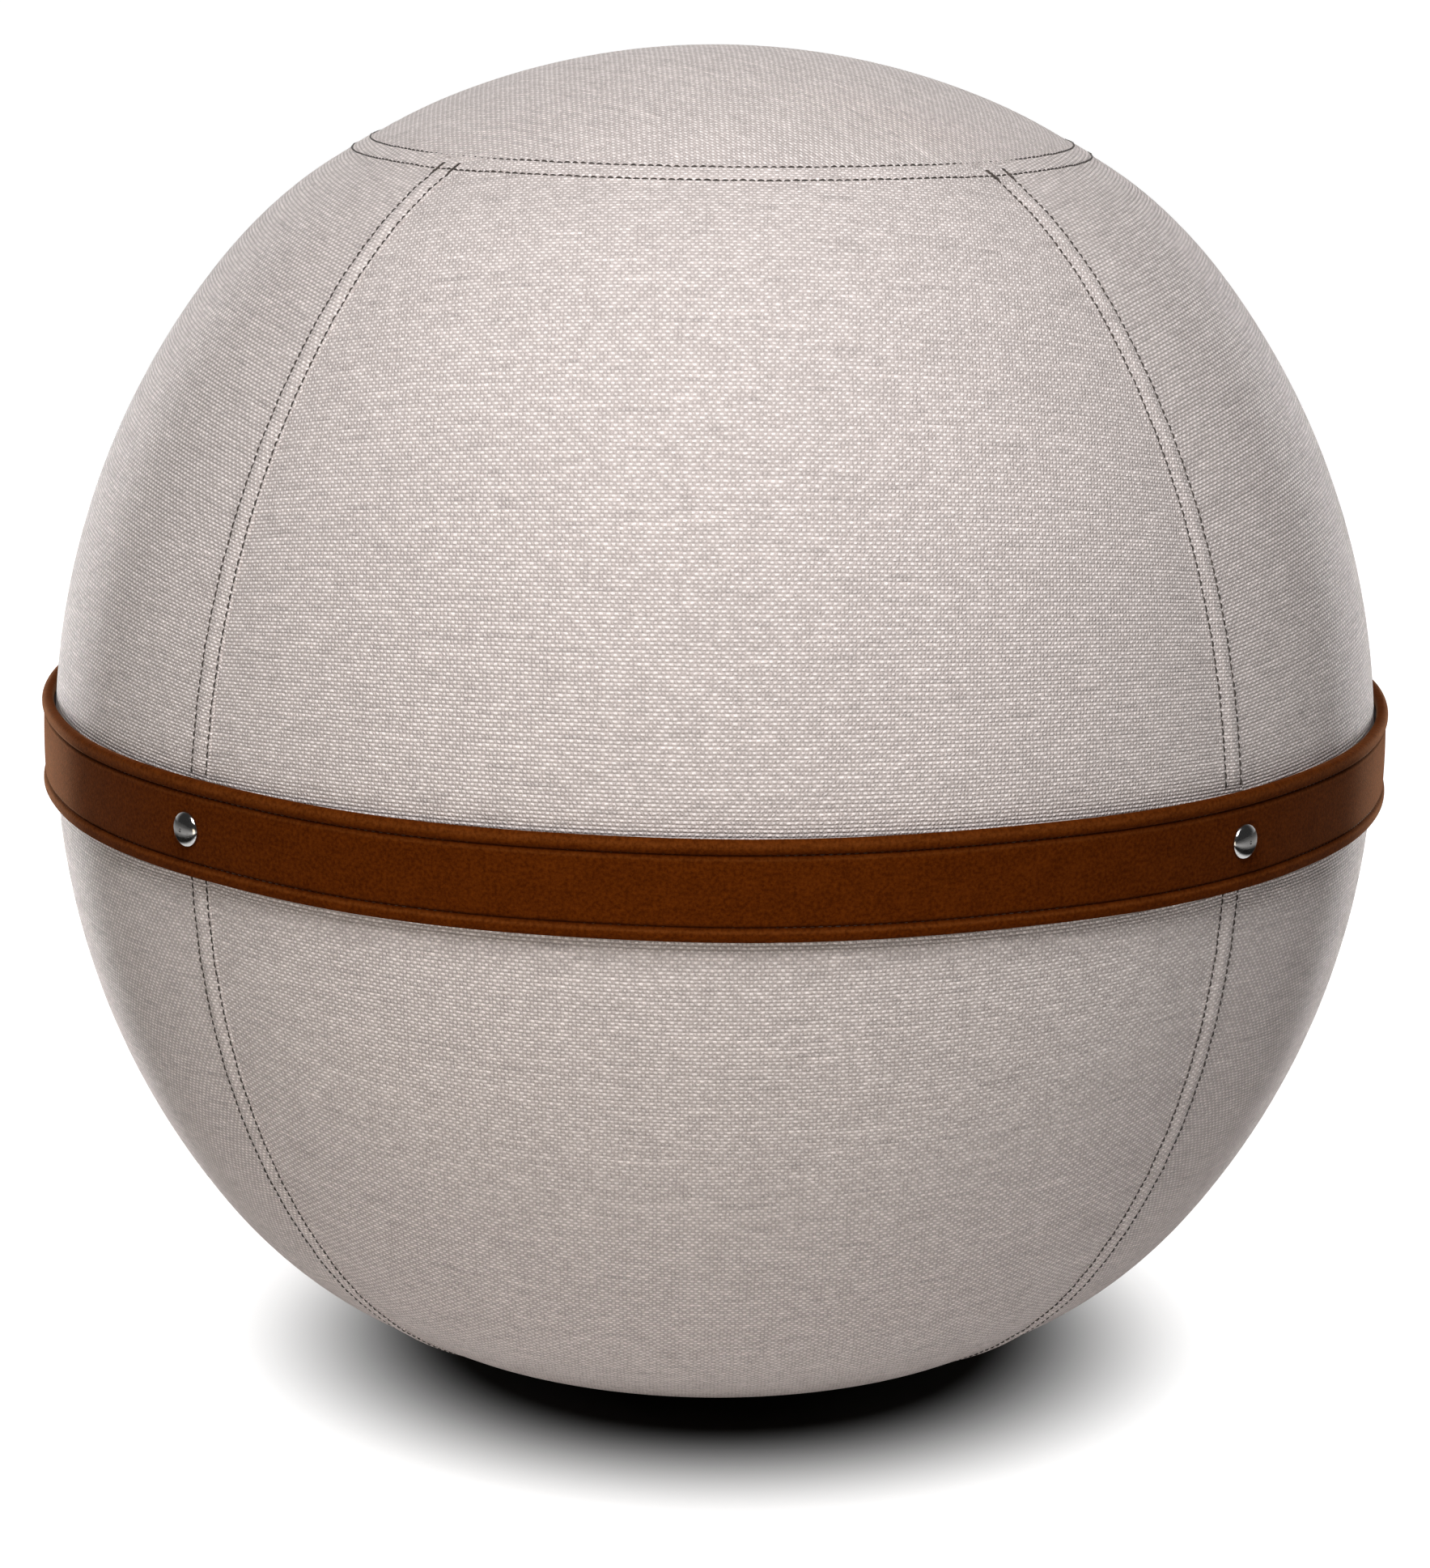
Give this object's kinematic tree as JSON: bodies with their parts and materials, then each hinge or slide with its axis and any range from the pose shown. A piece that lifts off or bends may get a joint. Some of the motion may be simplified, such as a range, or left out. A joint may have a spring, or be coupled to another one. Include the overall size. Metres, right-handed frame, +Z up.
{
  "type": "sitting ball",
  "caption": "Round fabric-covered sitting ball with topstitched panels, a riveted leather belt round its middle and a weighted flat base; the seat sinks when sat on.",
  "frame": {"origin": "centre of the grip pad's face, on the floor", "axes": "+Z up along the ball's axis; the ball's front, the middle of a side panel, faces -Y"},
  "size_m": [0.6109, 0.611, 0.5977],
  "materials": {
    "cover_fabric": "matte",
    "seam_tape": "matte",
    "bladder_vinyl": "satin",
    "valve_plastic": "satin",
    "base_board": "matte",
    "grip_rubber": "matte",
    "ballast_cloth": "matte",
    "ballast_granules": "matte",
    "zip_tape_cloth": "matte",
    "zip_nylon": "satin",
    "zip_metal": "satin",
    "belt_leather": "matte",
    "belt_webbing": "matte",
    "belt_backing": "matte",
    "rivet_steel": "polished"
  },
  "bodies": {
    "ball": {"cover_side_panel_right": "cover_fabric", "cover_side_panel_back": "cover_fabric", "cover_side_panel_left": "cover_fabric", "cover_side_panel_front": "cover_fabric", "side_seam_tapes": "seam_tape", "inner_ball": "bladder_vinyl", "valve_seat": "valve_plastic", "base_panel": "base_board", "base_grip_pad": "grip_rubber", "base_seam_band": "seam_tape", "ballast_bag": "ballast_cloth", "ballast_fill": "ballast_granules", "zip_tape_inner": "zip_tape_cloth", "zip_tape_outer": "zip_tape_cloth", "zip_coil_inner": "zip_nylon", "zip_coil_outer": "zip_nylon", "zip_stops": "zip_metal"},
    "seat": {"cover_top_panel": "cover_fabric", "top_seam_tape": "seam_tape"},
    "belt": {"belt_face": "belt_leather", "belt_core": "belt_webbing", "belt_lining": "belt_backing", "belt_upper_cord": "belt_webbing", "belt_lower_cord": "belt_webbing", "rivet_caps": "rivet_steel", "rivet_posts": "rivet_steel", "rivet_washers": "rivet_steel"},
    "zip_slider": {"zip_slider": "zip_metal"},
    "zip_pull": {"zip_pull": "zip_metal"},
    "valve_plug": {"valve_plug": "valve_plastic"}
  },
  "joints": [
    {"name": "seat_press", "type": "slide", "parent": "ball", "child": "seat", "axis": [0, 0, -1], "range_m": [0, 0.04], "stiffness_N_per_m": 15000, "deforming": ["cover_side_panel_right", "cover_side_panel_back", "cover_side_panel_left", "cover_side_panel_front", "side_seam_tapes", "inner_ball"]},
    {"name": "belt_drop", "type": "slide", "parent": "ball", "child": "belt", "axis": [0, 0, -1], "range_m": [0, 0.02058]},
    {"name": "zip_slide", "type": "hinge", "parent": "ball", "child": "zip_slider", "pos_m": [0, 0, 0.0124], "axis": [0, 0, 1], "range_deg": [0, 230.6]},
    {"name": "zip_pull_flip", "type": "hinge", "parent": "zip_slider", "child": "zip_pull", "pos_m": [0.09493, -0.04487, 0.0072], "axis": [-0.9041, 0.4274, 0], "range_deg": [0, 168]},
    {"name": "valve_pull", "type": "slide", "parent": "ball", "child": "valve_plug", "axis": [0, 0, -1], "range_m": [0, 0.012]}
  ],
  "couplings": [
    {"joint": "belt_drop", "follows": "seat_press", "ratio": 0.5146}
  ]
}
